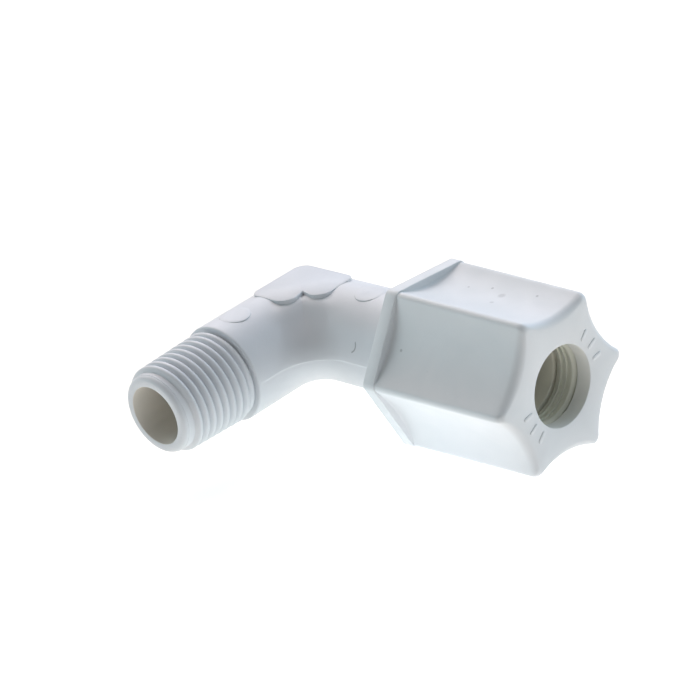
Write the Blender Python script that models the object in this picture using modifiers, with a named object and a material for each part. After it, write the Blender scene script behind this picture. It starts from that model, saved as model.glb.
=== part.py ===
"""Compression male elbow, 5/16 in tube to 1/8 in pipe thread. Metres, +Z up.

Lengths below are millimetres in the elbow's own axes: the two legs cross at the
origin, the tube leg runs along +X, the pipe-thread leg along -Y.
"""

import math

import bmesh
import bpy
from mathutils import Matrix, Vector

MM = 0.001
GAP = 0.2
EDGE_BREAK = 0.2
SHARP_ANGLE = math.radians(30)

# Elbow skin
LEG_R = 5.45
BEND_FILLET = 5.2
TUBE_LEG_END = 27.6
SHOULDER_L = 13.34
SKIN_COLUMNS = 32
BEND_STEPS = 6

# 1/8 in pipe thread, 27 per inch, taper 1 in 32 on the radius
PIPE_END = 23.16
PIPE_PITCH = 0.9407
PIPE_CREST_R = 5.27
PIPE_DEPTH = 0.62
PIPE_CREST_HALF = 0.07
PIPE_TURNS = 8.75
PIPE_RUN_OUT_TURNS = 0.25
PIPE_FIRST_CREST = 13.80
PIPE_TAPER = 1 / 32
PIPE_NECK_R = 4.62
PIPE_LEAD_R = 4.55
PIPE_RIM = 0.60
PIPE_CORE_START = 8.0

# Nut thread, 20 per inch
NUT_PITCH = 1.27
BODY_CREST_R = 6.10
BODY_CREST_HALF = 0.12
BODY_THREAD_START = 19.5
BODY_THREAD_TURNS = 5.75
NUT_MINOR_R = 5.70
NUT_MAJOR_R = 6.25
NUT_CREST_HALF = 0.10
NUT_GROOVE_BASE_R = 5.58
NUT_GROOVE_START_TURN = -1.96
NUT_GROOVE_TURNS = 8.2
FLANK = math.tan(math.radians(30))
ROOT_SINK = 0.06
RIDGE_START_TURN = 0.04

# Passage through the elbow
PIPE_BORE_R = 3.26
TUBE_BORE_R = 3.20
TUBE_BORE_START = 0.5
TUBE_STOP_X = 18.5
SOCKET_R = 4.05
SEAT_LENGTH = 2.6
SEAT_MOUTH_R = 5.0
OVERRUN = 1.0
DOME_STEPS = 6

# Raised L-shaped pad on the corner, and the round pads on the legs
PAD_TOP = 5.50
PAD_BOTTOM = 3.70
PAD_EDGE = 2.10
PAD_END = 5.90
PAD_NOTCH = 2.95
PAD_LOBE_R = 1.65
PAD_LOBE_IN = 1.60
PAD_CORNER_R = 1.50
PAD_END_R = 1.00
PAD_SHIFT = 0.12
PAD_ARC_STEPS = 5
PAD_CORNER_STEPS = 3
DISC_R = 1.70
DISC_TOP = 5.49
DISC_BOTTOM = 4.20
TUBE_DISC_X = 10.3
PIPE_DISC_L = 10.0
DISC_STEPS = 24

# Nut
NUT_FRONT = 35.5
NUT_REAR = 17.3
FLANGE_FRONT = 18.75
HEX_R = 10.05
HEX_ROUND = 0.9
HEX_TURN = math.radians(55.24)
TIP_R_REAR = 9.78
TIP_R_FRONT = 9.47
FLUTE_R_REAR = 7.40
FLUTE_R_FRONT = 7.12
TIP_HALF = 0.50
RIM_BREAK = 0.60
HOLE_R = 4.255
HOLE_DEPTH = 1.70
SEAT_R_FRONT = 4.95
CHAMBER_R = 5.95
CHAMBER_END = 31.2
RELIEF_R = 6.30
RELIEF_FROM = 27.0
RELIEF_TO = 29.0
ENTRY_DEPTH = 0.6
FLUTES = 6
OUTLINE_STEPS = 8
CORNER_STEPS = 3

# Gripper and sleeve
GRIP_FRONT = 33.6
GRIP_REAR = 31.0
GRIP_TEETH = 3
TOOTH_R = 4.12
TOOTH_ROOT_R = 4.40
GRIP_MOUTH_R = 4.50
GRIP_SPLIT = 1.3
GRIP_SPLIT_TURN = math.pi
SLEEVE_FRONT = 30.8
SLEEVE_TIP = 27.65
SLEEVE_BORE_R = 4.10
SLEEVE_TIP_R = 4.50
SLEEVE_FLANGE_R = 5.70
SLEEVE_FLANGE_X = 29.5
SLEEVE_CONE = 0.361

TURN_STEPS = 24
RING_STEPS = 32
MERGE = 0.000001

PARTS = "pvc_elbow_fitting"
CUTTERS = "cutters"

# Local Z, the turning axis, laid along the tube leg and along the pipe leg
ALONG_TUBE = Matrix(((0, 0, 1), (1, 0, 0), (0, 1, 0))).to_4x4()
ALONG_PIPE = Matrix(((1, 0, 0), (0, 0, -1), (0, 1, 0))).to_4x4()


def clear_scene():
    for obj in list(bpy.data.objects):
        bpy.data.objects.remove(obj, do_unlink=True)


def new_collection(name):
    collection = bpy.data.collections.new(name)
    bpy.context.scene.collection.children.link(collection)
    return collection


def in_metres(points):
    return [Vector(point) * MM for point in points]


def mesh_object(name, points, faces, edges=()):
    mesh = bpy.data.meshes.new(name)
    mesh.from_pydata(in_metres(points), edges, faces)
    obj = bpy.data.objects.new(name, mesh)
    bpy.data.collections[CUTTERS].objects.link(obj)
    obj.hide_render = True
    obj.display_type = "WIRE"
    return obj


def evaluated_mesh(obj):
    graph = bpy.context.evaluated_depsgraph_get()
    return bpy.data.meshes.new_from_object(obj.evaluated_get(graph))


def bake(obj):
    """Puts the result of the modifiers in the object's own mesh."""
    mesh = evaluated_mesh(obj)
    obj.modifiers.clear()
    obj.data = mesh


def clean(obj, fill=False):
    work = bmesh.new()
    work.from_mesh(obj.data)
    bmesh.ops.remove_doubles(work, verts=work.verts, dist=MERGE)
    if fill:
        bmesh.ops.holes_fill(work, edges=work.edges, sides=0)
    bmesh.ops.recalc_face_normals(work, faces=work.faces)
    work.to_mesh(obj.data)
    work.free()


def screwed(name, profile, closed, angle, rise, steps):
    """Sweeps a profile of (along, radius) round local Z."""
    points = [(radius, 0, along) for along, radius in profile]
    edges = [(i, i + 1) for i in range(len(points) - 1)]
    if closed:
        edges.append((len(points) - 1, 0))
    obj = mesh_object(name, points, (), edges)
    sweep = obj.modifiers.new("sweep", "SCREW")
    sweep.axis = "Z"
    sweep.angle = angle
    sweep.screw_offset = rise * MM
    sweep.steps = steps
    sweep.render_steps = steps
    sweep.use_merge_vertices = True
    sweep.merge_threshold = MERGE
    bake(obj)
    return obj


def turned(name, profile, placing, closed=False, steps=RING_STEPS):
    obj = screwed(name, profile, closed, math.tau, 0, steps)
    clean(obj)
    obj.data.transform(placing)
    return obj


def helix(name, section, pitch, turns, placing, start_turn=0.0, taper=0.0):
    """A closed section of (along, radius) swept as a thread, ends filled."""
    steps = round(turns * TURN_STEPS)
    obj = screwed(name, section, True, math.tau * turns, pitch * turns, steps)
    clean(obj, fill=True)
    origin = section[0][0] * MM
    for vertex in obj.data.vertices:
        radius = math.hypot(vertex.co.x, vertex.co.y)
        shrink = 1 - taper * (vertex.co.z - origin) / radius
        vertex.co.x *= shrink
        vertex.co.y *= shrink
    spin = Matrix.Rotation(math.tau * start_turn, 4, "Z")
    rise = Matrix.Translation((0, 0, pitch * start_turn * MM))
    obj.data.transform(placing @ rise @ spin)
    return obj


def boolean(obj, other, operation):
    modifier = obj.modifiers.new(other.name, "BOOLEAN")
    modifier.operation = operation
    modifier.solver = "EXACT"
    modifier.object = other


def material(name, colour, roughness):
    made = bpy.data.materials.new(name)
    made.use_nodes = True
    shader = made.node_tree.nodes["Principled BSDF"]
    shader.inputs["Base Color"].default_value = (*colour, 1)
    shader.inputs["Roughness"].default_value = roughness
    shader.inputs["Metallic"].default_value = 0
    return made


def as_node(obj, made, parent):
    bake(obj)
    clean(obj)
    bpy.data.collections[CUTTERS].objects.unlink(obj)
    bpy.data.collections[PARTS].objects.link(obj)
    obj.hide_render = False
    obj.display_type = "TEXTURED"
    obj.data.shade_smooth()
    obj.data.set_sharp_from_angle(angle=SHARP_ANGLE)
    obj.data.materials.clear()
    obj.data.materials.append(made)
    obj.parent = parent


def grid_faces(rows, columns):
    """Quads of a grid that is closed round its columns, with both ends capped."""
    faces = []
    for row in range(rows - 1):
        for column in range(columns):
            after = (column + 1) % columns
            low = row * columns
            high = low + columns
            faces.append((low + column, low + after, high + after, high + column))
    faces.append(tuple(range(columns)))
    faces.append(tuple(range((rows - 1) * columns, rows * columns)))
    return faces


def inner_bend(across, up, step):
    """A point of the ball-rolled fillet inside the bend, step 0 to 1 at the mitre."""
    reach = LEG_R + BEND_FILLET
    centre = Vector((reach * across, -reach * across, reach * up))
    start = Vector((0, across, -up))
    middle = start.slerp(Vector((-across, 0, -up)), 0.5)
    return centre + BEND_FILLET * start.slerp(middle, step)


def outer_bend(across, up, step):
    """A point of the ball that closes the outside of the bend."""
    turn = step * math.pi / 4
    out = -LEG_R * across
    return Vector((-out * math.sin(turn), out * math.cos(turn), LEG_R * up))


def bend_point(across, up, step):
    if abs(across) < MERGE:
        return Vector((0, 0, LEG_R * up))
    bend = inner_bend if across > 0 else outer_bend
    return bend(across, up, step)


def mirrored(point):
    return Vector((-point[1], -point[0], point[2]))


def elbow_rows():
    around = [math.tau * i / SKIN_COLUMNS for i in range(SKIN_COLUMNS)]
    turns = [(math.cos(angle), math.sin(angle)) for angle in around]
    steps = [i / BEND_STEPS for i in range(BEND_STEPS + 1)]
    tube_end = [Vector((TUBE_LEG_END, -LEG_R * c, LEG_R * s)) for c, s in turns]
    pipe_end = [Vector((LEG_R * c, -SHOULDER_L, LEG_R * s)) for c, s in turns]
    bend = [[bend_point(c, s, step) for c, s in turns] for step in steps]
    far_bend = [[mirrored(point) for point in row] for row in reversed(bend[:-1])]
    return [tube_end, *bend, *far_bend, pipe_end]


def elbow_skin():
    rows = elbow_rows()
    points = [point for row in rows for point in row]
    obj = mesh_object("elbow_body", points, grid_faces(len(rows), SKIN_COLUMNS))
    clean(obj)
    return obj


def pipe_core():
    root = PIPE_CREST_R - PIPE_DEPTH
    lead_start = PIPE_FIRST_CREST + (PIPE_TURNS - PIPE_RUN_OUT_TURNS) * PIPE_PITCH
    lead_root = root - (lead_start - PIPE_FIRST_CREST) * PIPE_TAPER
    profile = [
        (PIPE_END, 0),
        (PIPE_END, PIPE_LEAD_R - PIPE_RIM),
        (PIPE_END - PIPE_RIM, PIPE_LEAD_R),
        (lead_start, max(lead_root, PIPE_LEAD_R)),
        (PIPE_FIRST_CREST, PIPE_NECK_R),
        (PIPE_CORE_START, PIPE_NECK_R),
        (PIPE_CORE_START, 0),
    ]
    return turned("pipe_core", profile, ALONG_PIPE, steps=TURN_STEPS)


def ridge_section(along, crest_r, crest_half, root_r):
    """A thread ridge with its crest at `along` and its foot sunk below the root."""
    foot = root_r - ROOT_SINK
    half = crest_half + (crest_r - foot) * FLANK
    return [
        (along - half, foot),
        (along - crest_half, crest_r),
        (along + crest_half, crest_r),
        (along + half, foot),
    ]


def pipe_ridge():
    section = ridge_section(
        PIPE_FIRST_CREST, PIPE_CREST_R, PIPE_CREST_HALF, PIPE_CREST_R - PIPE_DEPTH
    )
    return helix(
        "pipe_ridge",
        section,
        PIPE_PITCH,
        PIPE_TURNS,
        ALONG_PIPE,
        start_turn=RIDGE_START_TURN,
        taper=PIPE_TAPER,
    )


def body_ridge():
    section = ridge_section(BODY_THREAD_START, BODY_CREST_R, BODY_CREST_HALF, LEG_R)
    return helix(
        "body_ridge",
        section,
        NUT_PITCH,
        BODY_THREAD_TURNS,
        ALONG_TUBE,
        start_turn=RIDGE_START_TURN,
    )


def arc(centre, radius, start, end, steps):
    angles = [start + (end - start) * i / steps for i in range(steps + 1)]
    x, y = centre
    return [(x + radius * math.cos(a), y + radius * math.sin(a)) for a in angles]


def pad_outline():
    """An L with a rounded corner, and a round lobe at the inside of each end."""
    lobe = (PAD_LOBE_IN, PAD_LOBE_R - PAD_END)
    end = (PAD_END_R - PAD_EDGE, PAD_END_R - PAD_END)
    corner = (PAD_CORNER_R - PAD_EDGE, PAD_EDGE - PAD_CORNER_R)
    half = [(PAD_NOTCH, -PAD_NOTCH)]
    half += arc(lobe, PAD_LOBE_R, 0, -math.pi / 2, PAD_ARC_STEPS)
    half += arc(end, PAD_END_R, -math.pi / 2, -math.pi, PAD_ARC_STEPS)
    half += arc(corner, PAD_CORNER_R, math.pi, 3 * math.pi / 4, PAD_CORNER_STEPS)
    whole = half + [(-y, -x) for x, y in reversed(half[1:-1])]
    return [(x + PAD_SHIFT, y + PAD_SHIFT) for x, y in whole]


def prism(name, outline, bottom, top):
    work = bmesh.new()
    verts = [work.verts.new((x * MM, y * MM, bottom * MM)) for x, y in outline]
    face = work.faces.new(verts)
    raised = bmesh.ops.extrude_face_region(work, geom=[face])["geom"]
    moved = [item for item in raised if isinstance(item, bmesh.types.BMVert)]
    bmesh.ops.translate(work, verts=moved, vec=(0, 0, (top - bottom) * MM))
    bmesh.ops.recalc_face_normals(work, faces=work.faces)
    obj = mesh_object(name, (), ())
    work.to_mesh(obj.data)
    work.free()
    return obj


def disc_outline(x, y):
    return arc((x, y), DISC_R, 0, math.tau, DISC_STEPS)[:-1]


def pipe_bore():
    turn = [math.pi / 2 * i / DOME_STEPS for i in range(1, DOME_STEPS)]
    dome = [(-PIPE_BORE_R * math.sin(a), PIPE_BORE_R * math.cos(a)) for a in turn]
    mouth = PIPE_END + OVERRUN
    profile = [(mouth, 0), (mouth, PIPE_BORE_R), (0, PIPE_BORE_R), *dome]
    profile.append((-PIPE_BORE_R, 0))
    return turned("pipe_bore", profile, ALONG_PIPE)


def tube_socket():
    slope = (SEAT_MOUTH_R - SOCKET_R) / SEAT_LENGTH
    profile = [
        (TUBE_LEG_END + OVERRUN, 0),
        (TUBE_LEG_END + OVERRUN, SEAT_MOUTH_R + slope * OVERRUN),
        (TUBE_LEG_END - SEAT_LENGTH, SOCKET_R),
        (TUBE_STOP_X, SOCKET_R),
        (TUBE_STOP_X, TUBE_BORE_R),
        (TUBE_BORE_START, TUBE_BORE_R),
        (TUBE_BORE_START, 0),
    ]
    return turned("tube_socket", profile, ALONG_TUBE)


def elbow_body():
    body = elbow_skin()
    for piece in (
        pipe_core(),
        pipe_ridge(),
        body_ridge(),
        prism("corner_pad", pad_outline(), PAD_BOTTOM, PAD_TOP),
        prism("tube_leg_disc", disc_outline(TUBE_DISC_X, 0), DISC_BOTTOM, DISC_TOP),
        prism("pipe_leg_disc", disc_outline(0, -PIPE_DISC_L), DISC_BOTTOM, DISC_TOP),
    ):
        boolean(body, piece, "UNION")
    for cutter in (pipe_bore(), tube_socket()):
        boolean(body, cutter, "DIFFERENCE")
    return body


def sixfold(sixth):
    """Repeats a list of (radius, angle) for a sixth of a turn six times."""
    return [(r, a + k * math.pi / 3) for k in range(FLUTES) for r, a in sixth]


def in_polar(u, v):
    return math.hypot(u, v), math.atan2(v, u)


def hex_sixth():
    """A rounded corner, then the flat side almost to the next corner."""
    apothem = HEX_R * math.cos(math.pi / 6)
    hub = HEX_R - HEX_ROUND / math.cos(math.pi / 6)
    turns = [math.pi / 6 * (2 * i / CORNER_STEPS - 1) for i in range(CORNER_STEPS + 1)]
    corner = [
        in_polar(hub + HEX_ROUND * math.cos(a), HEX_ROUND * math.sin(a)) for a in turns
    ]
    start = corner[-1][1]
    span = math.pi / 3 - 2 * start
    side = []
    for i in range(1, OUTLINE_STEPS):
        angle = start + span * i / OUTLINE_STEPS
        side.append((apothem / math.cos(angle - math.pi / 6), angle))
    return corner + side


def star_sixth(tip_r, flute_r):
    """A narrow land at the tip, then the hollow flute to the next tip."""
    half = TIP_HALF / tip_r
    turns = [half * (2 * i / CORNER_STEPS - 1) for i in range(CORNER_STEPS + 1)]
    land = [(tip_r, a) for a in turns]
    reach = math.pi / 6 - half
    u = tip_r * math.cos(reach)
    v = tip_r * math.sin(reach)
    centre = (u * u + v * v - flute_r * flute_r) / (2 * (u - flute_r))
    radius = centre - flute_r
    sweep = math.asin(v / radius)
    flute = []
    for i in range(1, OUTLINE_STEPS):
        turn = sweep * (2 * i / OUTLINE_STEPS - 1)
        r, a = in_polar(centre - radius * math.cos(turn), radius * math.sin(turn))
        flute.append((r, a + math.pi / 6))
    return land + flute


def section_points(x, outline):
    return [
        (x, r * math.cos(a + HEX_TURN), r * math.sin(a + HEX_TURN))
        for r, a in sixfold(outline)
    ]


def nut_sections():
    flange = hex_sixth()
    rear_star = star_sixth(TIP_R_REAR, FLUTE_R_REAR)
    front_star = star_sixth(TIP_R_FRONT, FLUTE_R_FRONT)
    rim = star_sixth(TIP_R_FRONT - RIM_BREAK, FLUTE_R_FRONT - RIM_BREAK)
    return [
        section_points(NUT_REAR, flange),
        section_points(FLANGE_FRONT, flange),
        section_points(FLANGE_FRONT, rear_star),
        section_points(NUT_FRONT - RIM_BREAK, front_star),
        section_points(NUT_FRONT, rim),
    ]


def nut_blank():
    rows = nut_sections()
    points = [point for row in rows for point in row]
    obj = mesh_object("compression_nut", points, grid_faces(len(rows), len(rows[0])))
    clean(obj)
    return obj


def nut_cavity():
    inner = NUT_FRONT - HOLE_DEPTH
    profile = [
        (NUT_FRONT + OVERRUN, 0),
        (NUT_FRONT + OVERRUN, HOLE_R),
        (inner, HOLE_R),
        (inner, SEAT_R_FRONT),
        (CHAMBER_END, CHAMBER_R),
        (RELIEF_TO + (RELIEF_R - CHAMBER_R), CHAMBER_R),
        (RELIEF_TO, RELIEF_R),
        (RELIEF_FROM, RELIEF_R),
        (RELIEF_FROM, NUT_MINOR_R),
        (NUT_REAR + ENTRY_DEPTH, NUT_MINOR_R),
        (NUT_REAR, NUT_MINOR_R + ENTRY_DEPTH),
        (NUT_REAR - OVERRUN, NUT_MINOR_R + ENTRY_DEPTH),
        (NUT_REAR - OVERRUN, 0),
    ]
    return turned("nut_cavity", profile, ALONG_TUBE)


def nut_groove():
    def half(radius):
        return NUT_PITCH / 2 - NUT_CREST_HALF - (radius - NUT_MINOR_R) * FLANK

    base = half(NUT_GROOVE_BASE_R)
    crest = half(NUT_MAJOR_R)
    along = BODY_THREAD_START
    section = [
        (along - base, NUT_GROOVE_BASE_R),
        (along - crest, NUT_MAJOR_R),
        (along + crest, NUT_MAJOR_R),
        (along + base, NUT_GROOVE_BASE_R),
    ]
    return helix(
        "nut_groove",
        section,
        NUT_PITCH,
        NUT_GROOVE_TURNS,
        ALONG_TUBE,
        start_turn=NUT_GROOVE_START_TURN,
    )


def compression_nut():
    nut = nut_blank()
    boolean(nut, nut_cavity(), "DIFFERENCE")
    boolean(nut, nut_groove(), "DIFFERENCE")
    return nut


def gripper_profile():
    slope = (CHAMBER_R - SEAT_R_FRONT) / (NUT_FRONT - HOLE_DEPTH - CHAMBER_END)
    front_r = SEAT_R_FRONT - GAP
    rear_r = front_r + slope * (GRIP_FRONT - GRIP_REAR - EDGE_BREAK)
    teeth_front = GRIP_FRONT - (GRIP_MOUTH_R - TOOTH_R)
    step = (teeth_front - GRIP_REAR) / GRIP_TEETH
    profile = [(GRIP_FRONT, GRIP_MOUTH_R), (GRIP_FRONT, front_r)]
    profile += [(GRIP_REAR + EDGE_BREAK, rear_r), (GRIP_REAR, rear_r - EDGE_BREAK)]
    for tooth in range(GRIP_TEETH):
        profile.append((GRIP_REAR + tooth * step, TOOTH_ROOT_R))
        profile.append((GRIP_REAR + (tooth + 1) * step, TOOTH_R))
    return profile


def gripper_ring():
    split = GRIP_SPLIT / SEAT_R_FRONT
    angle = math.tau - split
    ring = screwed("gripper_ring", gripper_profile(), True, angle, 0, RING_STEPS)
    clean(ring, fill=True)
    spin = Matrix.Rotation(GRIP_SPLIT_TURN + split / 2, 4, "Z")
    ring.data.transform(ALONG_TUBE @ spin)
    return ring


def sleeve():
    shoulder_r = SLEEVE_TIP_R + SLEEVE_CONE * (SLEEVE_FLANGE_X - SLEEVE_TIP)
    profile = [
        (SLEEVE_FRONT, SLEEVE_BORE_R + EDGE_BREAK),
        (SLEEVE_FRONT, SLEEVE_FLANGE_R - EDGE_BREAK),
        (SLEEVE_FRONT - EDGE_BREAK, SLEEVE_FLANGE_R),
        (SLEEVE_FLANGE_X, SLEEVE_FLANGE_R),
        (SLEEVE_FLANGE_X, shoulder_r),
        (SLEEVE_TIP, SLEEVE_TIP_R),
        (SLEEVE_TIP, SLEEVE_BORE_R),
        (SLEEVE_FRONT - EDGE_BREAK, SLEEVE_BORE_R),
    ]
    return turned("sleeve", profile, ALONG_TUBE, closed=True)


def empty(name, location, parent=None):
    made = bpy.data.objects.new(name, None)
    bpy.data.collections[PARTS].objects.link(made)
    made.location = in_metres([location])[0]
    made.parent = parent
    return made


def crossing_point():
    """Where the legs cross, so that the box stands on z = 0, centred on the origin."""
    outline = section_points(NUT_REAR, hex_sixth())
    widest = max(point[1] for point in outline)
    lowest = min(point[2] for point in outline)
    return (LEG_R - NUT_FRONT) / 2, (PIPE_END - widest) / 2, -lowest


def main():
    clear_scene()
    new_collection(PARTS)
    new_collection(CUTTERS)
    frame = empty("leg_crossing", crossing_point())
    nut_axis = empty("nut_axis", (0, 0, 0), frame)
    body_plastic = material("body_plastic", (0.78, 0.80, 0.84), 0.42)
    nut_plastic = material("nut_plastic", (0.79, 0.81, 0.83), 0.40)
    grip_plastic = material("gripper_plastic", (0.70, 0.71, 0.68), 0.35)
    sleeve_plastic = material("sleeve_plastic", (0.76, 0.76, 0.74), 0.45)
    as_node(elbow_body(), body_plastic, frame)
    as_node(compression_nut(), nut_plastic, nut_axis)
    as_node(gripper_ring(), grip_plastic, nut_axis)
    as_node(sleeve(), sleeve_plastic, nut_axis)


main()
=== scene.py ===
"""Looks for the compression elbow: fine meshes, moulded-plastic materials, light and camera.

Lengths are millimetres in the elbow's own axes, as in the CAD: the legs cross at the
origin, the tube leg runs along +X, the pipe-thread leg along -Y.
"""

import math
from collections import namedtuple

import bmesh
import bpy
import numpy as np
from mathutils import Matrix, Vector


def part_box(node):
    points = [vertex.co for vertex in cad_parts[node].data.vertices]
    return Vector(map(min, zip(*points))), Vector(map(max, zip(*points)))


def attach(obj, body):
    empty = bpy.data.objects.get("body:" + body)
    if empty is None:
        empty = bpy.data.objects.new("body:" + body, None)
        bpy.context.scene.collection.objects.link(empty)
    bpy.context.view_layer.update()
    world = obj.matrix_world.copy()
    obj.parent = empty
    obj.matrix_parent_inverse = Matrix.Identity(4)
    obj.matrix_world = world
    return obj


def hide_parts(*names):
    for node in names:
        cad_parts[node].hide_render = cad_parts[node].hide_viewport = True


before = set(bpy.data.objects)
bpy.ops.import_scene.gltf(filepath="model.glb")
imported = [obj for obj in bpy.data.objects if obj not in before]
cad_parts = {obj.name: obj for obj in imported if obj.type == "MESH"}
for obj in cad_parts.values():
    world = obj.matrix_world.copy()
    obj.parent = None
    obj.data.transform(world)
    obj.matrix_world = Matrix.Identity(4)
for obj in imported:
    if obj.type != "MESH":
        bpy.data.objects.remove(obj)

MM = 0.001
COLUMNS = 144
BEND_STEPS = 20
LEG_STEPS = 8
SHARP = math.radians(32)

# Rows of the small rounds at an edge
EDGE_STEPS = 8
PIPE_RIM_STEPS = 10

# Elbow body. A blend runs between two distances along the leg, and the rows of a foot,
# mouth or edge are (distance along, growth outwards).
LEG_R = 5.45
BEND_FILLET = 5.2
SHOULDER_L = 13.34
SHOULDER_ROUND = 0.2
NECK_R = 4.66
NECK_BLEND = (13.4, 14.1)
NECK_FOOT = ((0.01, 0.02), (0.0, 0.08))
SHOULDER_BACK = 0.8

# Pipe thread; the fades are counted in turns from the shoulder
PIPE_END = 23.16
PIPE_PITCH = 0.9407
PIPE_CREST_L = 13.80
PIPE_CREST_R = 5.17
PIPE_DEPTH = 0.52
PIPE_CREST_FULLNESS = 2.6
PIPE_TAPER = 1 / 32
PIPE_RISE = (13.36, 13.6)
PIPE_FADE_IN = (-0.7, 0.5)
PIPE_FADE_OUT = (8.45, 8.85)
PIPE_THREAD = (22.58, 13.39)
PIPE_ROW_STEP = 0.05
PIPE_LEAD_BLEND = (21.80, 22.15)
PIPE_LEAD_R = 4.40
PIPE_LEAD_EDGE = 0.04
PIPE_RIM = 0.56
PIPE_RIM_R = 3.80
PIPE_MOUTH = ((0.12, 0.0), (0.03, 0.02), (0.0, 0.09))

# Bores
PIPE_BORE_R = 3.26
PIPE_BORE_ROWS = (4.0, 9.0, 16.0, 22.0)
MITRE_R = 3.23
TUBE_BORE_R = 3.20
TUBE_BORE_ROWS = (12.0, 4.5)
TUBE_STOP_X = 18.5
SOCKET_R = 4.05

# Tube leg and the nut's thread on it
TUBE_LEG_START = 13.6
TUBE_LEG_ROWS = (16.2, 18.6)
TUBE_LEG_END = 27.6
TUBE_LEG_EDGE = 0.1
SEAT_LENGTH = 2.6
SEAT_MOUTH_R = 5.0
NUT_PITCH = 1.27
NUT_ROW_STEP = 0.08
BODY_CREST_R = 6.08
BODY_CREST_HALF = 0.11
BODY_FLANK = 0.36
BODY_THREAD = (19.0, 27.3)
BODY_THREAD_X = 19.5
BODY_THREAD_TURNS = 5.75
BODY_FADE_IN = 0.25
BODY_FADE_OUT = 0.3

# Parting line
PARTING_HEIGHT = 0.07
PARTING_FADE = 0.8
PARTING_EDGE = 0.08
PARTING_COLUMNS = (-2.6, -1.4, -0.55, 0.0, 0.55, 1.4, 2.6)
PARTING_CLEAR = 3.2

# Raised pad on the corner, and the round pads on the legs
PAD_TOP = 5.50
PAD_BOTTOM = 3.70
PAD_EDGE = 2.10
PAD_END = 5.90
PAD_NOTCH = 2.95
PAD_LOBE_R = 1.65
PAD_LOBE_IN = 1.60
PAD_CORNER_R = 1.50
PAD_END_R = 1.00
PAD_SHIFT = 0.12
PAD_ARC_STEPS = 14
PAD_WALL = ((PAD_BOTTOM - PAD_TOP, 0.12), (-0.10, 0.01), (-0.04, -0.02), (0.0, -0.09))
SWELL_HEIGHT = 0.62
SWELL_OFF_AXIS = 3.6
SWELL_WIDTH = 1.15
SWELL_START = (2.2, 4.2)
SWELL_END = (4.8, 8.0)
SWELL_UP = (1.0, 3.0)
DISC_R = 1.70
DISC_BOTTOM = 4.60
DISC_TOP = 5.47
DISC_CROWN_R = 8.5
DISC_FOOT = 0.06
DISC_POINTS = 72
DISC_RINGS = ((-0.05, 0.0), (-0.02, -0.02), (0.0, -0.08), (0.0, -0.5), (0.0, -1.0), (0.0, -1.6))
TUBE_DISC = (10.3, 0.0)
PIPE_DISC = (0.0, -10.0)

# Nut. Edge rows are (distance along the nut, growth outwards).
NUT_FRONT = 35.5
NUT_REAR = 17.3
FLANGE_FRONT = 18.85
HEX_R = 10.05
HEX_ROUND = 0.9
HEX_TURN = math.radians(55.24)
FLANGE_REAR_EDGE = ((0.0, -0.22), (0.05, -0.08), (0.2, 0.0))
FLANGE_FRONT_EDGE = ((-0.14, 0.0), (-0.04, -0.03), (0.0, -0.11))
TIP_R_REAR = 9.78
TIP_R_FRONT = 9.47
FLUTE_R_REAR = 7.75
FLUTE_R_FRONT = 7.42
TIP_HALF = 0.50
TIP_ROUND = 0.22
RIM_ROUND = 0.95
HOLE_R = 4.255
HOLE_DEPTH = 1.70
HOLE_EDGE = ((0.0, 0.12), (0.03, 0.04), (0.12, 0.0))
SEAT_R_FRONT = 4.95
CHAMBER_R = 5.95
CHAMBER_END = 31.2
RELIEF_R = 6.30
RELIEF_FROM = 27.0
RELIEF_TO = 29.0
NUT_MINOR_R = 5.70
NUT_MAJOR_R = 6.24
NUT_CREST_HALF = 0.10
ENTRY_DEPTH = 0.6
NUT_THREAD_FROM = 26.98
FLUTE_FILLET = ((0.0, 0.36), (0.03, 0.25), (0.09, 0.15), (0.18, 0.07), (0.32, 0.02))
FILLET_TIP_IN = 0.02
FLUTE_FROM = 0.6
FLUTE_ROWS = 14
LAND_STEPS = 6
FLUTE_STEPS = 26
DASH_R = 5.55
DASH_LENGTH = 1.3
DASH_HALF = 0.21
DASH_HEIGHT = 0.09
DASH_SPREAD = math.radians(17)
DASH_POINTS = 32
DASH_ROWS = ((-0.1, 0.04), (DASH_HEIGHT * 0.6, 0.0), (DASH_HEIGHT, -0.07))
DASH_SIDES = (("upper", math.radians(25)), ("lower", math.radians(-155)))

# Grab ring and sleeve: closed profiles of (x, radius)
GRIP_SPLIT = 1.3
GRIP_COLUMNS = 120
GRIP_CONE = ((33.6, 4.42), (33.58, 4.50), (33.6, 4.60), (33.55, 4.72), (31.2, 5.67), (31.0, 5.47))
GRIP_REAR_EDGE = ((31.0, 4.45), (31.06, 4.36))
GRIP_TEETH = (31.72, 32.45, 33.2)
TOOTH_TIP_R = 4.13
TOOTH_ROOT_R = 4.34
TOOTH_FLAT = 0.04
TOOTH_LEAN = 0.01
TOOTH_FALL = 0.03
SLEEVE_COLUMNS = 96
SLEEVE_RIM = ((30.8, 4.30), (30.8, 5.55), (30.74, 5.66), (30.6, 5.70), (29.6, 5.70), (29.5, 5.64))
SLEEVE_CONE = ((29.5, 5.2), (29.42, 5.12), (27.8, 4.54), (27.68, 4.48), (27.65, 4.40))
SLEEVE_BORE = ((27.65, 4.16), (27.75, 4.10), (30.55, 4.10), (30.72, 4.17))


def smoothstep(low, high, value):
    t = np.clip((value - low) / (high - low), 0, 1)
    return t * t * (3 - 2 * t)


def around(count=COLUMNS):
    """Column angles, half a step off the poles of the bend."""
    return (np.arange(count) + 0.5) * math.tau / count


def tube_leg(x, r, a):
    return np.stack([np.broadcast_to(x, a.shape), -r * np.cos(a), r * np.sin(a)], -1)


def pipe_leg(along, r, a):
    return np.stack([r * np.cos(a), np.broadcast_to(-along, a.shape), r * np.sin(a)], -1)


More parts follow.
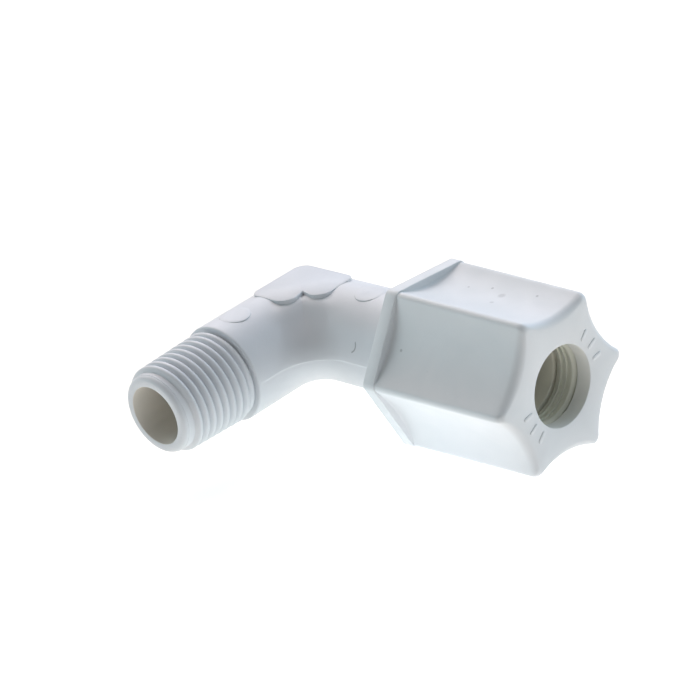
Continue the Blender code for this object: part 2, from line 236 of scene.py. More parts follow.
def crossing():
    """Where the two legs' axes cross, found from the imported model."""
    low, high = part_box("sleeve")
    nut_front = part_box("compression_nut")[1].x
    return Vector((nut_front - NUT_FRONT * MM, (low.y + high.y) / 2, (low.z + high.z) / 2))


def shell(name, rows, origin, body, slot, node=None, loop=True):
    """A closed skin from rows of points, joined round the columns and, if loop, end to end."""
    rows = np.asarray(rows, float)
    count, columns = rows.shape[:2]
    index = np.arange(count * columns).reshape(count, columns)
    low = index if loop else index[:-1]
    high = np.roll(index, -1, 0) if loop else index[1:]
    quads = np.stack([low, np.roll(low, -1, 1), np.roll(high, -1, 1), high], -1).reshape(-1, 4)
    faces = quads.tolist()
    if not loop:
        faces += [index[0].tolist(), index[-1].tolist()]
    mesh = bpy.data.meshes.new(name)
    mesh.from_pydata((rows.reshape(-1, 3) * MM).tolist(), [], faces)
    return piece(name, mesh, origin, body, slot, node)


def piece(name, mesh, origin, body, slot, node=None):
    """A shaded object from a mesh, riding on a body and, if node, shown in its place."""
    work = bmesh.new()
    work.from_mesh(mesh)
    bmesh.ops.remove_doubles(work, verts=work.verts, dist=1e-7)
    bmesh.ops.recalc_face_normals(work, faces=work.faces)
    work.to_mesh(mesh)
    work.free()
    mesh.shade_smooth()
    mesh.set_sharp_from_angle(angle=SHARP)
    obj = bpy.data.objects.new(name, mesh)
    bpy.context.scene.collection.objects.link(obj)
    obj.location = origin
    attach(obj, body)
    if node:
        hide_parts(node)
    mesh.materials.append(MATERIALS[slot])
    return obj


# ---------------------------------------------------------------- elbow body


def bend_rows(a):
    """Outer skin round the bend, from the pipe leg to the tube leg: a rolled-ball
    fillet inside, a ball outside."""
    c, s = np.cos(a), np.sin(a)
    rows = []
    for step in np.linspace(0, 1, BEND_STEPS + 1):
        rows.append(bend_half(c, s, step))
    flip = [np.stack([-p[:, 1], -p[:, 0], p[:, 2]], -1) for p in rows]
    return flip + rows[-2::-1]


def bend_half(c, s, step):
    """One row of the bend, from the tube leg's end at step 0 to the mitre plane at step 1."""
    reach = LEG_R + BEND_FILLET
    inside = c > 0
    start = np.stack([np.zeros_like(c), c, -s], -1)
    end = np.stack([-c, np.zeros_like(c), -s], -1)
    cosine = np.clip((start * end).sum(-1), -1, 1)
    omega = np.maximum(np.arccos(cosine), 1e-9)
    t = step / 2
    from_start = np.sin((1 - t) * omega) / np.sin(omega)
    from_end = np.sin(t * omega) / np.sin(omega)
    swept = from_start[:, None] * start + from_end[:, None] * end
    centre = np.stack([reach * c, -reach * c, reach * s], -1)
    fillet = centre + BEND_FILLET * swept
    turn = step * math.pi / 4
    out = -LEG_R * c
    ball = np.stack([-out * math.sin(turn), out * math.cos(turn), LEG_R * s], -1)
    return np.where(inside[:, None], fillet, ball)


def pipe_thread_radius(along, a):
    """Radius of the pipe thread: rounded crests that fade out at both ends."""
    turn = np.where(a > math.pi, a - math.tau, a) / math.tau
    u = (along - PIPE_CREST_L) / PIPE_PITCH - turn
    crest = np.round(u)
    turns_from_shoulder = crest + turn
    flank = 1 - np.abs(2 * (u - crest)) ** PIPE_CREST_FULLNESS
    fade = smoothstep(*PIPE_FADE_IN, turns_from_shoulder)
    fade = fade * (1 - smoothstep(*PIPE_FADE_OUT, turns_from_shoulder))
    core = PIPE_CREST_R - PIPE_DEPTH - (along - PIPE_CREST_L) * PIPE_TAPER
    core += (PIPE_LEAD_R - core) * smoothstep(*PIPE_LEAD_BLEND, along)
    core += (NECK_R - core) * (1 - smoothstep(*NECK_BLEND, along))
    return core + PIPE_DEPTH * flank * fade * smoothstep(*PIPE_RISE, along)


def pipe_leg_rows(a):
    """From the bore's mouth, round the rim, down the thread to the shoulder."""
    rows = [pipe_leg(PIPE_END - depth, PIPE_BORE_R + out, a) for depth, out in PIPE_MOUTH]
    rim_drop = PIPE_LEAD_R - PIPE_LEAD_EDGE - PIPE_RIM_R
    for t in np.linspace(0, math.pi / 2, PIPE_RIM_STEPS):
        along = PIPE_END - PIPE_RIM * (1 - math.cos(t))
        rows.append(pipe_leg(along, PIPE_RIM_R + rim_drop * math.sin(t), a))
    for along in np.arange(*PIPE_THREAD, -PIPE_ROW_STEP):
        rows.append(pipe_leg(along, pipe_thread_radius(along, a), a))
    rows += [pipe_leg(SHOULDER_L + ahead, NECK_R + out, a) for ahead, out in NECK_FOOT]
    for t in np.linspace(0, math.pi / 2, EDGE_STEPS):
        along = SHOULDER_L - SHOULDER_ROUND * (1 - math.cos(t))
        rows.append(pipe_leg(along, LEG_R - SHOULDER_ROUND * (1 - math.sin(t)), a))
    rows.append(pipe_leg(SHOULDER_L - SHOULDER_BACK, LEG_R, a))
    return rows


def body_thread_radius(x, a):
    """Radius of the nut's thread on the tube leg, with flat crests."""
    turn = np.mod(math.pi - a, math.tau) / math.tau
    u = (x - BODY_THREAD_X) / NUT_PITCH - turn
    crest = np.round(u)
    turns_from_start = crest + turn
    off_crest = np.abs(u - crest) * NUT_PITCH
    flank = np.clip(1 - (off_crest - BODY_CREST_HALF) / BODY_FLANK, 0, 1)
    end = BODY_THREAD_TURNS
    fade = smoothstep(0.0, BODY_FADE_IN, turns_from_start)
    fade = fade * (1 - smoothstep(end - BODY_FADE_OUT, end, turns_from_start))
    return LEG_R + (BODY_CREST_R - LEG_R) * flank * fade


def tube_leg_rows(a):
    """From the bend along the nut's thread, round the end and into the socket."""
    rows = [tube_leg(x, LEG_R, a) for x in TUBE_LEG_ROWS]
    for x in np.arange(*BODY_THREAD, NUT_ROW_STEP):
        rows.append(tube_leg(x, body_thread_radius(x, a), a))
    profile = (
        (TUBE_LEG_END - TUBE_LEG_EDGE, LEG_R),
        (TUBE_LEG_END, LEG_R - TUBE_LEG_EDGE),
        (TUBE_LEG_END, SEAT_MOUTH_R),
        (TUBE_LEG_END - SEAT_LENGTH, SOCKET_R),
        (TUBE_STOP_X, SOCKET_R),
        (TUBE_STOP_X, TUBE_BORE_R),
    )
    return rows + [tube_leg(x, r, a) for x, r in profile]


def with_parting_line(rows, a):
    """The upper mould half stands a hair proud of the lower along the mid-plane."""
    height = LEG_R * np.sin(a)
    reach = np.where(height > 0, PARTING_FADE, PARTING_EDGE)
    swell = PARTING_HEIGHT * np.exp(-((height / reach) ** 2))
    raised = []
    for row in rows:
        out = row - row.mean(0)
        out[:, 2] = 0
        length = np.maximum(np.linalg.norm(out, axis=1), 1e-6)
        raised.append(row + out * (swell / length)[:, None])
    return raised


def with_pad_swell(rows):
    """The skin under the pad's lobes stands a little proud of the legs' round."""
    upwards = np.array([0.0, 0.0, 1.0])
    swollen = []
    for row in rows:
        x, y, z = row[:, 0], -row[:, 1], row[:, 2]
        off_axis, along = np.minimum(x, y), np.maximum(x, y)
        swell = SWELL_HEIGHT * np.exp(-(((off_axis - SWELL_OFF_AXIS) / SWELL_WIDTH) ** 2))
        swell *= smoothstep(*SWELL_START, along) * (1 - smoothstep(*SWELL_END, along))
        swell *= smoothstep(*SWELL_UP, z)
        swollen.append(row + swell[:, None] * upwards)
    return swollen


def between(first, last, count):
    """Rows evenly spaced between two rows, without those two."""
    return [first + (last - first) * t for t in np.linspace(0, 1, count + 2)[1:-1]]


def body_columns():
    """Columns crowded near the mid-plane, so that the parting line has its own."""
    extra = np.array(PARTING_COLUMNS) * math.pi / 180
    near = np.concatenate([extra, extra + math.pi])
    clear = math.sin(math.radians(PARTING_CLEAR))
    keep = [angle for angle in around() if abs(math.sin(angle)) > clear]
    return np.sort(np.mod(np.concatenate([keep, near]), math.tau))


def elbow_body(origin):
    a = body_columns()
    rows = [np.stack([MITRE_R * np.cos(a), -MITRE_R * np.cos(a), MITRE_R * np.sin(a)], -1)]
    rows += [pipe_leg(along, PIPE_BORE_R, a) for along in PIPE_BORE_ROWS]
    rows += pipe_leg_rows(a)
    bend, start = bend_rows(a), tube_leg(TUBE_LEG_START, LEG_R, a)
    straights = between(rows[-1], bend[0], LEG_STEPS), between(bend[-1], start, LEG_STEPS)
    rows += with_parting_line(with_pad_swell(straights[0] + bend + straights[1]) + [start], a)
    rows += tube_leg_rows(a)
    rows += [tube_leg(x, TUBE_BORE_R, a) for x in TUBE_BORE_ROWS]
    return shell("elbow_body_skin", rows, origin, "elbow", "body_plastic", "elbow_body")


def arc(centre, radius, start, end, steps):
    """Points of an arc from angle start to angle end."""
    t = np.linspace(start, end, steps + 1)
    return np.stack([centre[0] + radius * np.cos(t), centre[1] + radius * np.sin(t)], -1)


def pad_outline():
    """The L-shaped pad seen from above, clockwise from the notch inside the bend."""
    lobe = (PAD_LOBE_IN, PAD_LOBE_R - PAD_END)
    end = (PAD_END_R - PAD_EDGE, PAD_END_R - PAD_END)
    corner = (PAD_CORNER_R - PAD_EDGE, PAD_EDGE - PAD_CORNER_R)
    half = np.concatenate([
        [(PAD_NOTCH, -PAD_NOTCH)],
        arc(lobe, PAD_LOBE_R, 0, -math.pi / 2, PAD_ARC_STEPS),
        arc(end, PAD_END_R, -math.pi / 2, -math.pi, PAD_ARC_STEPS),
        arc(corner, PAD_CORNER_R, math.pi, 3 * math.pi / 4, PAD_ARC_STEPS),
    ])
    other = -half[-2:0:-1, ::-1]
    return np.concatenate([half, other]) + PAD_SHIFT


def grown(outline, grow):
    """A clockwise outline with every side moved out by grow."""
    ahead = np.roll(outline, -1, 0) - outline
    normal = np.stack([-ahead[:, 1], ahead[:, 0]], -1)
    normal /= np.linalg.norm(normal, axis=1)[:, None]
    before = np.roll(normal, 1, 0)
    return outline + grow * (normal + before) / (1 + (normal * before).sum(1))[:, None]


def corner_pad(origin):
    """The flat pad on the corner, with a slightly drafted wall and a broken edge."""
    outline = pad_outline()
    rows = []
    for drop, grow in PAD_WALL:
        flat = grown(outline, grow)
        rows.append(np.concatenate([flat, np.full((len(flat), 1), PAD_TOP + drop)], 1))
    return shell("corner_pad", rows, origin, "elbow", "body_plastic", loop=False)


def leg_disc(name, middle, across, origin):
    """A low round pad whose top is crowned across the leg."""
    middle = np.array(middle)

    def ring(radius, height):
        last = DISC_POINTS - 1
        flat = arc(middle, radius, 0, -math.tau * last / DISC_POINTS, last)
        drop = (flat - middle)[:, across] ** 2 / (2 * DISC_CROWN_R)
        return np.concatenate([flat, (height - drop)[:, None]], 1)

    rows = [ring(DISC_R + DISC_FOOT, DISC_BOTTOM)]
    rows += [ring(DISC_R + grow, DISC_TOP + drop) for drop, grow in DISC_RINGS]
    return shell(name, rows, origin, "elbow", "body_plastic", loop=False)


# ---------------------------------------------------------------- nut


def polar(u, v):
    """(radius, angle) of flat points."""
    return np.stack([np.hypot(u, v), np.arctan2(v, u)], -1)


def hex_sixth(grow):
    """A rounded corner, then the flat side almost to the next corner."""
    apothem = HEX_R * math.cos(math.pi / 6) + grow
    hub = HEX_R - HEX_ROUND / math.cos(math.pi / 6)
    t = np.linspace(-math.pi / 6, math.pi / 6, LAND_STEPS + 1)
    round_r = HEX_ROUND + grow
    corner = polar(hub + round_r * np.cos(t), round_r * np.sin(t))
    start = corner[-1, 1]
    angle = np.linspace(start, math.pi / 3 - start, FLUTE_STEPS + 1)[1:-1]
    side = np.stack([apothem / np.cos(angle - math.pi / 6), angle], -1)
    return np.concatenate([corner, side])


def star_sixth(tip_r, flute_r):
    """A blunt, rounded tip, then the hollow flute to the next tip."""
    half = TIP_HALF / tip_r
    t = np.linspace(-1, 1, LAND_STEPS + 1)
    land_r = tip_r - TIP_ROUND * np.abs(t) ** 3
    land = np.stack([land_r, half * t], -1)
    end_r = tip_r - TIP_ROUND
    reach = math.pi / 6 - half
    u, v = end_r * math.cos(reach), end_r * math.sin(reach)
    centre = (u * u + v * v - flute_r * flute_r) / (2 * (u - flute_r))
    radius = centre - flute_r
    sweep = math.asin(v / radius)
    turn = sweep * np.linspace(-1, 1, FLUTE_STEPS + 1)[1:-1]
    flute = polar(centre - radius * np.cos(turn), radius * np.sin(turn))
    flute[:, 1] += math.pi / 6
    return np.concatenate([land, flute])


def nut_row(x, sixth):
    """Six copies of a sixth, set round the tube axis at x."""
    r = np.tile(sixth[:, 0], 6)
    angle = np.concatenate([sixth[:, 1] + k * math.pi / 3 for k in range(6)]) + HEX_TURN
    return np.stack([np.full(len(r), x), r * np.cos(angle), r * np.sin(angle)], -1)


def nut_round(x, r):
    """A circle with its points at the star's angles."""
    sixth = star_sixth(TIP_R_FRONT, FLUTE_R_FRONT)
    sixth[:, 0] = r
    return nut_row(x, sixth)


def nut_thread_row(x):
    """A row of the nut's own thread, whose grooves face the body's crests."""
    row = nut_round(x, NUT_MINOR_R)
    angle = np.mod(np.arctan2(row[:, 2], row[:, 1]), math.tau)
    u = (x - BODY_THREAD_X) / NUT_PITCH - angle / math.tau
    off_groove = np.abs(u - np.round(u)) * NUT_PITCH
    groove = NUT_MAJOR_R - NUT_MINOR_R
    reach = NUT_PITCH / 2 - NUT_CREST_HALF - off_groove
    depth = np.clip(reach / groove / math.tan(math.radians(30)), 0, 1)
    r = NUT_MINOR_R + groove * depth
    row[:, 1] = r * np.cos(angle)
    row[:, 2] = r * np.sin(angle)
    return row


def star_at(x):
    """Radii of the tips and of the flutes' middles at x."""
    t = (x - FLANGE_FRONT) / (NUT_FRONT - FLANGE_FRONT)
    tip = TIP_R_REAR + (TIP_R_FRONT - TIP_R_REAR) * t
    flute = FLUTE_R_REAR + (FLUTE_R_FRONT - FLUTE_R_REAR) * t
    return tip, flute


def nut_outside():
    """From the flange's rear edge over the fluted barrel to the rounded front rim."""
    rows = [nut_row(NUT_REAR + ahead, hex_sixth(grow)) for ahead, grow in FLANGE_REAR_EDGE]
    rows += [nut_row(FLANGE_FRONT + ahead, hex_sixth(grow)) for ahead, grow in FLANGE_FRONT_EDGE]
    tip, flute = star_at(FLANGE_FRONT)
    for ahead, rise in FLUTE_FILLET:
        rows.append(nut_row(FLANGE_FRONT + ahead, star_sixth(tip - FILLET_TIP_IN, flute + rise)))
    for x in np.linspace(FLANGE_FRONT + FLUTE_FROM, NUT_FRONT - RIM_ROUND, FLUTE_ROWS):
        rows.append(nut_row(x, star_sixth(*star_at(x))))
    tip, flute = star_at(NUT_FRONT)
    for t in np.linspace(0, math.pi / 2, EDGE_STEPS)[1:]:
        inset = RIM_ROUND * (1 - math.cos(t))
        x = NUT_FRONT - RIM_ROUND + RIM_ROUND * math.sin(t)
        rows.append(nut_row(x, star_sixth(tip - inset, flute - inset)))
    return rows


def nut_inside():
    """From the hole in the face past the cone and the relief, then back down the thread."""
    rows = [nut_round(NUT_FRONT - depth, HOLE_R + out) for depth, out in HOLE_EDGE]
    profile = (
        (NUT_FRONT - HOLE_DEPTH, HOLE_R),
        (NUT_FRONT - HOLE_DEPTH, SEAT_R_FRONT),
        (CHAMBER_END, CHAMBER_R),
        (RELIEF_TO + RELIEF_R - CHAMBER_R, CHAMBER_R),
        (RELIEF_TO, RELIEF_R),
        (RELIEF_FROM, RELIEF_R),
    )
    rows += [nut_round(x, r) for x, r in profile]
    for x in np.arange(NUT_THREAD_FROM, NUT_REAR + ENTRY_DEPTH, -NUT_ROW_STEP):
        rows.append(nut_thread_row(x))
    rows.append(nut_round(NUT_REAR + ENTRY_DEPTH / 2, NUT_MAJOR_R))
    rows.append(nut_round(NUT_REAR, NUT_MINOR_R + ENTRY_DEPTH))
    return rows


def compression_nut(origin):
    rows = nut_outside() + nut_inside()
    return shell("compression_nut_skin", rows, origin, "nut", "nut_plastic", "compression_nut")


def raised_bar(name, y, z, turn, origin):
    """A plain raised dash on the nut's face, in place of the moulded lettering."""
    t = np.linspace(0, math.tau, DASH_POINTS, endpoint=False)
    rows = []
    for height, grow in DASH_ROWS:
        r = DASH_HALF + grow
        u = np.sign(np.cos(t)) * (DASH_LENGTH / 2 - DASH_HALF) + r * np.cos(t)
        v = r * np.sin(t)
        across = y + u * math.cos(turn) - v * math.sin(turn)
        up = z + u * math.sin(turn) + v * math.cos(turn)
        rows.append(np.stack([np.full(len(t), NUT_FRONT + height), across, up], -1))
    return shell(name, rows, origin, "nut", "nut_plastic", loop=False)


def nut_marks(origin):
    """Two rows of three dashes set round the hole."""
    for side, middle in DASH_SIDES:
        for i in range(3):
            turn = middle + (i - 1) * DASH_SPREAD
            y, z = DASH_R * math.cos(turn), DASH_R * math.sin(turn)
            raised_bar(f"nut_dash_{side}_{i + 1}", y, z, turn, origin)


# ---------------------------------------------------------------- inner rings


def ring_rows(profile, a):
    """Rows of a closed ring profile of (x, radius), measured from +Y towards +Z."""
    return [
        np.stack([np.full(len(a), x), r * np.cos(a), r * np.sin(a)], -1) for x, r in profile
    ]


def gripper_ring(origin):
    """The split grab ring: a cone outside, saw teeth inside, open for the split."""
    teeth = []
    for x in GRIP_TEETH:
        tip = [(x - TOOTH_FLAT, TOOTH_TIP_R), (x, TOOTH_TIP_R + TOOTH_LEAN)]
        teeth += [*tip, (x + TOOTH_FALL, TOOTH_ROOT_R)]
    profile = [*GRIP_CONE, *GRIP_REAR_EDGE, *teeth[:-1]]
    half = GRIP_SPLIT / 2 / SEAT_R_FRONT
    a = np.linspace(half - math.pi, math.pi - half, GRIP_COLUMNS)
    sections = np.stack(ring_rows(profile, a), 1)
    name, node = "gripper_ring_skin", "gripper_ring"
    return shell(name, sections, origin, "gripper", "gripper_plastic", node, loop=False)


def sleeve(origin):
    """The ferrule: a rim at the grab ring, a cone towards the seat and a plain bore."""
    rows = ring_rows([*SLEEVE_RIM, *SLEEVE_CONE, *SLEEVE_BORE], around(SLEEVE_COLUMNS))
    return shell("sleeve_skin", rows, origin, "sleeve", "sleeve_plastic", "sleeve")


# ---------------------------------------------------------------- materials


class Graph:
    """Short calls for building a node tree."""

    def __init__(self, tree):
        self.tree = tree
        self.place = tree.nodes.new("ShaderNodeTexCoord").outputs["Object"]

    def link(self, source, target):
        if isinstance(source, bpy.types.NodeSocket):
            self.tree.links.new(source, target)
        else:
            target.default_value = source

    def vector(self, operation, first, second=(0.0, 0.0, 0.0), factor=None):
        node = self.tree.nodes.new("ShaderNodeVectorMath")
        node.operation = operation
        self.link(first, node.inputs[0])
        self.link(second, node.inputs[1])
        if factor is not None:
            self.link(factor, node.inputs["Scale"])
        scalar = operation in ("DOT_PRODUCT", "LENGTH", "DISTANCE")
        return node.outputs["Value" if scalar else "Vector"]

    def math(self, operation, first, second=0.0):
        node = self.tree.nodes.new("ShaderNodeMath")
        node.operation = operation
        self.link(first, node.inputs[0])
        self.link(second, node.inputs[1])
        return node.outputs[0]

    def noise(self, scale, detail=4.0, rough=0.55, vector=None, warp=0.0):
        node = self.tree.nodes.new("ShaderNodeTexNoise")
        node.inputs["Scale"].default_value = scale
        node.inputs["Detail"].default_value = detail
        node.inputs["Roughness"].default_value = rough
        node.inputs["Distortion"].default_value = warp
        self.link(vector or self.place, node.inputs["Vector"])
        return node.outputs["Fac"]

    def cells(self, scale):
        node = self.tree.nodes.new("ShaderNodeTexVoronoi")
        node.inputs["Scale"].default_value = scale
        self.link(self.place, node.inputs["Vector"])
        return node.outputs["Distance"]

    def span(self, value, low, high, to_low=0.0, to_high=1.0):
        """Value eased from to_low at low to to_high at high."""
        node = self.tree.nodes.new("ShaderNodeMapRange")
        node.interpolation_type = "SMOOTHSTEP"
        numbers = {"From Min": low, "From Max": high, "To Min": to_low, "To Max": to_high}
        for name, number in numbers.items():
            node.inputs[name].default_value = number
        self.link(value, node.inputs["Value"])
        return node.outputs["Result"]

    def mix(self, share, first, second):
        node = self.tree.nodes.new("ShaderNodeMix")
        node.data_type = "RGBA"
        self.link(share, node.inputs[0])
        self.link(first, node.inputs[6])
        self.link(second, node.inputs[7])
        return node.outputs[2]

    def bump(self, height, distance, strength, normal=None):
        node = self.tree.nodes.new("ShaderNodeBump")
        node.inputs["Distance"].default_value = distance
        node.inputs["Strength"].default_value = strength
        self.link(height, node.inputs["Height"])
        if normal is not None:
            self.link(normal, node.inputs["Normal"])
        return node.outputs["Normal"]

    def near(self, centre, radius):
        """1 inside a small ball given in millimetres, easing to 0 just outside."""
        away = self.vector("DISTANCE", self.place, tuple(Vector(centre) * MM))
        return self.span(away, radius * 0.6 * MM, radius * 1.3 * MM, 1.0, 0.0)

    def inside(self, axis, radius):
        """1 nearer than radius millimetres to an axis, ahead of the bend's outer skin: the mask of
        a bore's painted light.
        """
        away = self.vector("LENGTH", self.vector("CROSS_PRODUCT", self.place, axis))
        near = self.span(away, (radius - 0.03) * MM, (radius + 0.03) * MM, 1.0, 0.0)
        along = self.vector("DOT_PRODUCT", self.place, axis)
        ahead = self.span(along, (BORES_FROM - 0.2) * MM, (BORES_FROM + 0.2) * MM)
        return self.math("MULTIPLY", near, ahead)

    def scratch(self, centre, radius):
        """A short curved scuff: an arc of a thin ring."""
        away = self.vector("DISTANCE", self.place, tuple(Vector(centre) * MM))
        off = self.math("ABSOLUTE", self.math("SUBTRACT", away, radius * MM))
        line = self.span(off, 0.04 * MM, 0.11 * MM, 1.0, 0.0)
        side = self.vector("DOT_PRODUCT", self.place, SCRATCH_SIDE)
        middle = Vector(centre).dot(Vector(SCRATCH_SIDE)) * MM
        ends = self.span(side, middle + 0.55 * radius * MM, middle + 0.7 * radius * MM)
        return self.math("MULTIPLY", line, ends)


# light and shade are the plastic's paler and darker tones, clouded into each other at random.
# inside is
# painted light: the bores are painted lighter and warmer, standing in for light passing through
# the plastic. A bore is (axis, radius), and a spot or a scratch is (centre, radius, strength).
Look = namedtuple("Look", "light shade inside bores spots scratches roughness mottle")
TUBE_AXIS = (1.0, 0.0, 0.0)
PIPE_AXIS = (0.0, -1.0, 0.0)
# Along each axis, the bores' painted light begins at this distance
BORES_FROM = -3.8
SCRATCH_SIDE = (0.93, 0.0, -0.37)
DUST = (0.16, 0.17, 0.18, 1)
DUST_STRENGTH = 0.35
IOR = 1.49
# How often each pattern repeats in a metre
CLOUD = 160
FLOW = 90
FLOW_STRETCH = (0.25, 1.0, 1.0)
PATCHES = 75
SPECKS = 330
GRAIN = 2600
SMEAR = 420
# How deep each one's relief is
GRAIN_DEPTH = 0.03
SMEAR_DEPTH = 0.12
CLOUD_DEPTH = 0.4
SPECK_DEPTH = 0.04


def moulded_plastic(name, look):
    """Matt moulded plastic: cloudy colour, flow lines, bores painted lighter and warmer as painted
    light, fine grain, specks and scuffs.
    """
    made = bpy.data.materials.new(name)
    made.use_nodes = True
    shader = made.node_tree.nodes["Principled BSDF"]
    g = Graph(made.node_tree)

    cloud = g.noise(CLOUD, 3, 0.5, warp=0.6)
    flow = g.noise(FLOW, 5, 0.6, g.vector("MULTIPLY", g.place, FLOW_STRETCH), 0.8)
    colour = g.mix(g.span(cloud, 0.35, 0.65, 0.0, look.mottle), look.light, look.shade)
    colour = g.mix(g.span(flow, 0.55, 0.75, 0.0, look.mottle * 0.6), colour, look.shade)
    # Painted light: the bores are painted lighter and warmer, standing in for light passing
    # through the plastic.
    for axis, radius in look.bores:
        colour = g.mix(g.inside(axis, radius), colour, look.inside)
    patches = g.span(g.noise(PATCHES, 2, 0.5), 0.62, 0.66)
    dust = g.math("MULTIPLY", g.span(g.cells(SPECKS), 0.035, 0.06, 1.0, 0.0), patches)
    colour = g.mix(g.math("MULTIPLY", dust, DUST_STRENGTH), colour, DUST)
    for centre, radius, strength in look.spots:
        colour = g.mix(g.math("MULTIPLY", g.near(centre, radius), strength), colour, DUST)
    for centre, radius, strength in look.scratches:
        colour = g.mix(g.math("MULTIPLY", g.scratch(centre, radius), strength), colour, DUST)
    g.link(colour, shader.inputs["Base Color"])

    grain = g.noise(GRAIN, 3, 0.6)
    smear = g.noise(SMEAR, 4, 0.6, warp=0.4)
    base = g.span(smear, 0.3, 0.7, look.roughness - 0.07, look.roughness + 0.09)
    g.link(g.math("ADD", base, g.span(grain, 0.3, 0.7, -0.03, 0.03)), shader.inputs["Roughness"])
    normal = g.bump(grain, GRAIN_DEPTH * MM, 0.22)
    normal = g.bump(smear, SMEAR_DEPTH * MM, 0.20, normal)
    normal = g.bump(cloud, CLOUD_DEPTH * MM, 0.12, normal)
    normal = g.bump(dust, SPECK_DEPTH * MM, 0.5, normal)
    g.link(normal, shader.inputs["Normal"])
    shader.inputs["IOR"].default_value = IOR
    shader.inputs["Specular IOR Level"].default_value = 0.5
    return made


LOOKS = {
    "body_plastic": Look(
        light=(0.725, 0.745, 0.775, 1),
        shade=(0.675, 0.70, 0.735, 1),
        # inside: painted light, the bores lighter and warmer than the skin
        inside=(0.82, 0.785, 0.725, 1),
        bores=((TUBE_AXIS, 3.32), (PIPE_AXIS, 3.30)),
        spots=(),
        scratches=(((11.32, -5.15, 1.95), 0.78, 0.6),),
        roughness=0.40,
        mottle=0.4,
    ),
    "nut_plastic": Look(
        light=(0.76, 0.785, 0.805, 1),
        shade=(0.70, 0.74, 0.765, 1),
        # inside: painted light, the bore lighter and warmer than the skin
        inside=(0.84, 0.85, 0.82, 1),
        bores=((TUBE_AXIS, 4.29),),
        spots=(
            ((27.25, 1.95, 7.3), 0.45, 0.28),
            ((27.39, 0.25, 7.5), 0.24, 0.25),
            ((23.99, -5.35, 5.5), 0.18, 0.3),
            ((26.22, -5.2, 5.5), 0.18, 0.3),
            ((24.55, -7.3, 2.72), 0.22, 0.45),
            ((20.46, -6.6, 3.96), 0.17, 0.4),
        ),
        scratches=(((22.51, -6.51, 3.29), 0.55, 0.12),),
        roughness=0.40,
        mottle=0.45,
    ),
    "gripper_plastic": Look(
        light=(0.78, 0.785, 0.69, 1),
        shade=(0.71, 0.715, 0.62, 1),
        inside=None,
        bores=(),
        spots=(),
        scratches=(),
        roughness=0.36,
        mottle=0.5,
    ),
    "sleeve_plastic": Look(
        light=(0.80, 0.775, 0.67, 1),
        shade=(0.73, 0.705, 0.60, 1),
        inside=None,
        bores=(),
        spots=(),
        scratches=(),
        roughness=0.42,
        mottle=0.5,
    ),
}

# ---------------------------------------------------------------- light, floor and camera

FLOOR_COLOUR = (0.8, 0.8, 0.8, 1)
FLOOR_LIGHT = (0.47, 0.43, 0.37)
# Pools of light on the floor: middle and reach in metres, and colour
FLOOR_POOLS = (
    ((0.0, -0.012, 0.0), 0.012, (0.32, 0.51, 0.595)),
    ((0.012, 0.0, 0.0), 0.012, (0.715, 0.70, 0.77)),
)
# Soft boxes: azimuth and elevation in degrees, how narrow, and colour
SOFTBOXES = (
    (150, 50, 6, (2.70, 2.37, 2.23)),
    (90, 30, 10, (0.65, 0.925, 1.16)),
    (130, 30, 10, (1.285, 1.325, 1.53)),
    (90, 12, 8, (0.0, 0.30, 0.60)),
    (45, 12, 8, (1.38, 1.51, 1.55)),
    (0, 12, 8, (0.31, 0.385, 0.455)),
    (225, 12, 8, (1.16, 1.60, 1.76)),
)
# The camera looks at a point just off the crossing, from this side and height
CAMERA_TARGET = (6.215, -0.683, -1.916)
CAMERA_DISTANCE = 300.0
CAMERA_AZIMUTH = math.radians(-41.7204)
CAMERA_ELEVATION = math.radians(25.8255)
CAMERA_ROLL = math.radians(-11.1233)
CAMERA_LENS = 145.40
CAMERA_NEAR = 0.01
SENSOR = 36.0
FLOOR_HALF = 1.5
FLOOR_GAP = 0.00002


def camera(origin):
    data = bpy.data.cameras.new("camera")
    data.lens = CAMERA_LENS
    data.sensor_width = SENSOR
    data.clip_start = CAMERA_NEAR
    made = bpy.data.objects.new("camera", data)
    bpy.context.scene.collection.objects.link(made)
    turn = Matrix.Rotation(CAMERA_AZIMUTH + math.pi / 2, 4, "Z")
    turn = turn @ Matrix.Rotation(math.pi / 2 - CAMERA_ELEVATION, 4, "X")
    turn = turn @ Matrix.Rotation(CAMERA_ROLL, 4, "Z")
    back = Matrix.Translation((0, 0, CAMERA_DISTANCE * MM))
    made.matrix_world = Matrix.Translation(origin + Vector(CAMERA_TARGET) * MM) @ turn @ back
    bpy.context.scene.camera = made


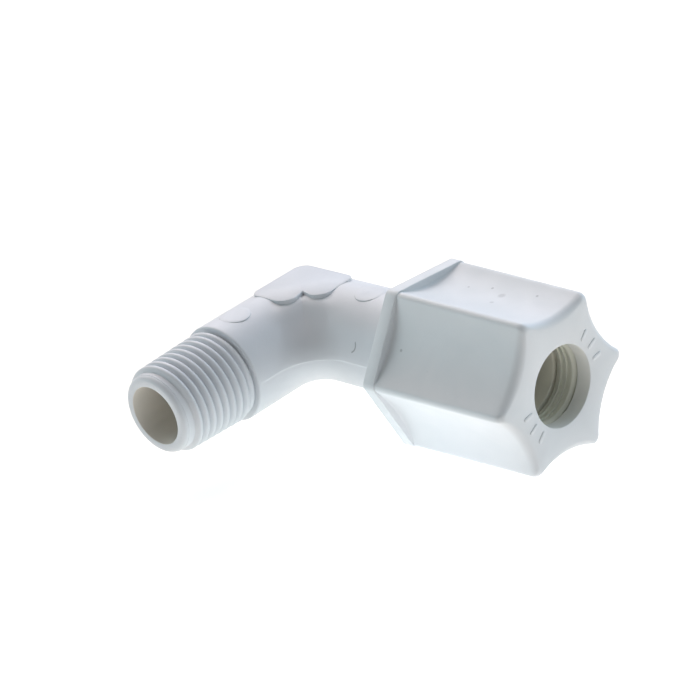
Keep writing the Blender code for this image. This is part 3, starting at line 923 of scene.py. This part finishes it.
def floor():
    """A pale plain sheet, lit brighter round the object."""
    mesh = bpy.data.meshes.new("floor")
    half = FLOOR_HALF
    corners = [(-half, -half, 0), (half, -half, 0), (half, half, 0), (-half, half, 0)]
    mesh.from_pydata(corners, [], [(0, 1, 2, 3)])
    obj = bpy.data.objects.new("floor", mesh)
    obj.location = (0, 0, -FLOOR_GAP)
    bpy.context.scene.collection.objects.link(obj)
    made = bpy.data.materials.new("floor")
    made.use_nodes = True
    shader = made.node_tree.nodes["Principled BSDF"]
    shader.inputs["Base Color"].default_value = FLOOR_COLOUR
    shader.inputs["Roughness"].default_value = 0.9
    shader.inputs["Specular IOR Level"].default_value = 0.0
    g = Graph(made.node_tree)
    light = FLOOR_LIGHT
    for middle, reach, colour in FLOOR_POOLS:
        away = g.math("MULTIPLY", g.vector("DISTANCE", g.place, middle), 1 / reach)
        falloff = g.math("POWER", math.e, g.math("MULTIPLY", g.math("MULTIPLY", away, away), -1.0))
        light = g.vector("ADD", light, g.vector("SCALE", colour, factor=falloff))
    g.link(light, shader.inputs["Emission Color"])
    shader.inputs["Emission Strength"].default_value = 1.0
    mesh.materials.append(made)


def towards(azimuth, elevation):
    """Unit vector from an azimuth and an elevation in degrees."""
    turn, rise = math.radians(azimuth), math.radians(elevation)
    level = math.cos(rise)
    return (level * math.cos(turn), level * math.sin(turn), math.sin(rise))


def studio_light():
    """Large soft boxes round a pale floor, as smooth lobes of the world's light."""
    world = bpy.data.worlds.new("studio")
    bpy.context.scene.world = world
    world.use_nodes = True
    g = Graph(world.node_tree)
    direction = world.node_tree.nodes.new("ShaderNodeTexCoord").outputs["Generated"]
    total = (0.0, 0.0, 0.0)
    for azimuth, elevation, narrow, colour in SOFTBOXES:
        box = towards(azimuth, elevation)
        facing = g.math("MAXIMUM", g.vector("DOT_PRODUCT", direction, box), 0.0)
        lobe = g.vector("SCALE", colour, factor=g.math("POWER", facing, float(narrow)))
        total = g.vector("ADD", total, lobe)
    shader = world.node_tree.nodes["Background"]
    g.link(total, shader.inputs["Color"])
    shader.inputs["Strength"].default_value = 1.0


bpy.context.scene.view_settings.view_transform = "Standard"
MATERIALS = {slot: moulded_plastic(slot, look) for slot, look in LOOKS.items()}
origin = crossing()
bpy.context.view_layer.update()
elbow_body(origin)
corner_pad(origin)
leg_disc("tube_leg_disc", TUBE_DISC, 1, origin)
leg_disc("pipe_leg_disc", PIPE_DISC, 0, origin)
compression_nut(origin)
nut_marks(origin)
gripper_ring(origin)
sleeve(origin)
floor()
studio_light()
camera(origin)
